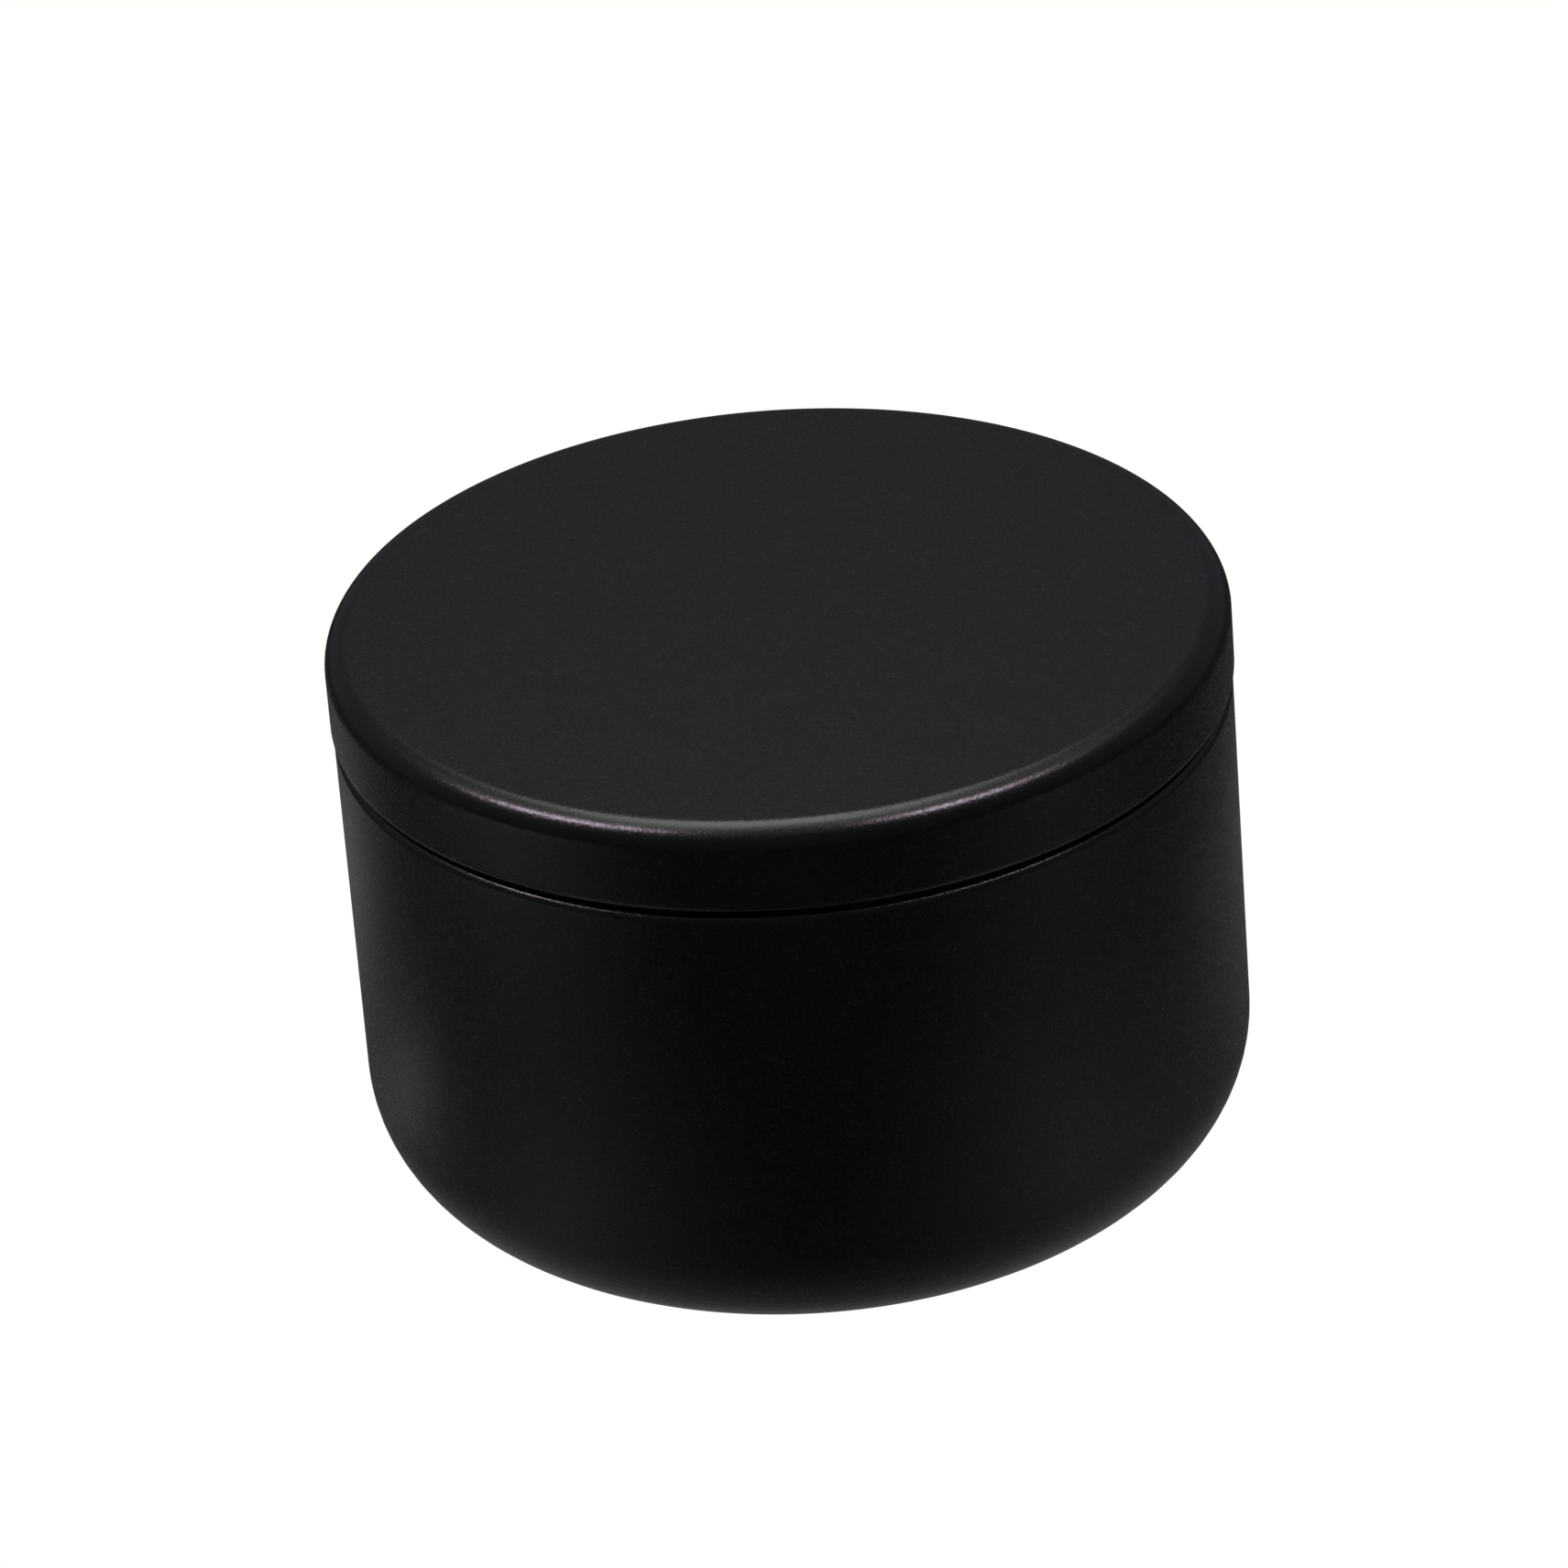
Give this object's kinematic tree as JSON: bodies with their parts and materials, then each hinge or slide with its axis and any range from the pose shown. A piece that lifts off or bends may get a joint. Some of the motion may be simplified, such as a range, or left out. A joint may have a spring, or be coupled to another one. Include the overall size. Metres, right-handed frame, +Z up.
{
  "type": "candle tin",
  "caption": "Round metal candle tin with a rounded base, a necked and rolled rim, and a lift-off slip lid with a flat top and a short skirt.",
  "frame": {"origin": "centre of the plane that the base's standing ring rests on", "axes": "+Z up along the tin's axis of turning, from the base towards the lid; X and Y are any two directions across it"},
  "size_m": [0.053, 0.053, 0.037],
  "materials": {
    "black_coat": "matte, with a very fine grain"
  },
  "bodies": {
    "tin": {"tin_body": "black_coat"},
    "lid": {"slip_lid": "black_coat"}
  },
  "joints": [
    {"name": "lid_lift", "type": "slide", "parent": "tin", "child": "lid", "axis": [0, 0, 1], "range_m": [0, 0.025]}
  ]
}
